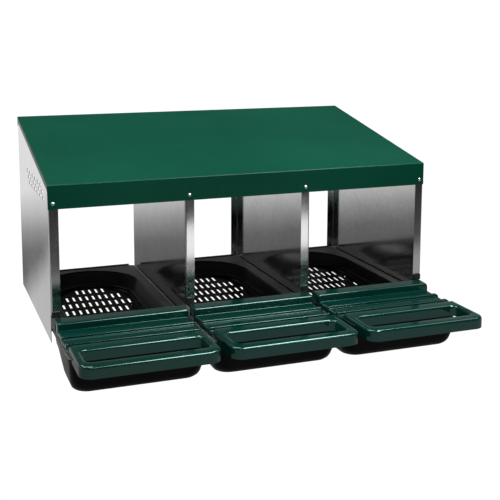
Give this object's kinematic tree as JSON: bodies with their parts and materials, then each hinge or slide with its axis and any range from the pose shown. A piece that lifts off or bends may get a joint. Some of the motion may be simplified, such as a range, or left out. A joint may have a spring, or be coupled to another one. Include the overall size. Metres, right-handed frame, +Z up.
{
  "type": "nesting box",
  "caption": "Roll-away laying nest: sheet-steel housing with sloping roof, slide-out perforated nest trays and hinged egg covers that carry a perch loop.",
  "frame": {"origin": "middle of the footprint, on the plane that the trays rest on", "axes": "+X along the width to the right seen from the front, +Y towards the open back, +Z up"},
  "size_m": [0.932, 0.7835, 0.5102],
  "materials": {
    "galvanised_sheet": "bright galvanised, faint spangle, semi-gloss",
    "roof_paint": "satin green coat",
    "cover_plastic": "glossy moulded dark green",
    "tray_plastic": "moulded black with a fine leather grain on the rim",
    "cap_plastic": "moulded black",
    "zinc_fastener": "bright zinc plate",
    "rod_steel": "drawn zinc-plated rod"
  },
  "bodies": {
    "housing": {"left_side_panel": "galvanised_sheet", "right_side_panel": "galvanised_sheet", "left_divider": "galvanised_sheet", "right_divider": "galvanised_sheet", "roof": "roof_paint", "roof_front_screws": "zinc_fastener", "roof_rear_screws": "zinc_fastener", "rear_rail": "galvanised_sheet", "rear_rail_rivets": "zinc_fastener", "flange_cap_1": "cap_plastic", "flange_cap_2": "cap_plastic", "flange_cap_3": "cap_plastic", "flange_cap_4": "cap_plastic", "rail_left_1": "galvanised_sheet", "rail_left_2": "galvanised_sheet", "rail_left_3": "galvanised_sheet", "rail_right_1": "galvanised_sheet", "rail_right_2": "galvanised_sheet", "rail_right_3": "galvanised_sheet"},
    "tray_1": {"nest_tray_1": "tray_plastic", "nest_floor_1": "tray_plastic"},
    "cover_1": {"egg_cover_1": "cover_plastic", "hinge_rod_1": "rod_steel"},
    "tray_2": {"nest_tray_2": "tray_plastic", "nest_floor_2": "tray_plastic"},
    "cover_2": {"egg_cover_2": "cover_plastic", "hinge_rod_2": "rod_steel"},
    "tray_3": {"nest_tray_3": "tray_plastic", "nest_floor_3": "tray_plastic"},
    "cover_3": {"egg_cover_3": "cover_plastic", "hinge_rod_3": "rod_steel"}
  },
  "joints": [
    {"name": "tray_slide_1", "type": "slide", "parent": "housing", "child": "tray_1", "axis": [0, -1, 0], "range_m": [0, 0.4]},
    {"name": "cover_hinge_1", "type": "hinge", "parent": "tray_1", "child": "cover_1", "pos_m": [-0.31, -0.11575, 0.103], "axis": [-1, 0, 0], "range_deg": [0, 90]},
    {"name": "tray_slide_2", "type": "slide", "parent": "housing", "child": "tray_2", "axis": [0, -1, 0], "range_m": [0, 0.4]},
    {"name": "cover_hinge_2", "type": "hinge", "parent": "tray_2", "child": "cover_2", "pos_m": [0, -0.11575, 0.103], "axis": [-1, 0, 0], "range_deg": [0, 90]},
    {"name": "tray_slide_3", "type": "slide", "parent": "housing", "child": "tray_3", "axis": [0, -1, 0], "range_m": [0, 0.4]},
    {"name": "cover_hinge_3", "type": "hinge", "parent": "tray_3", "child": "cover_3", "pos_m": [0.31, -0.11575, 0.103], "axis": [-1, 0, 0], "range_deg": [0, 90]}
  ]
}
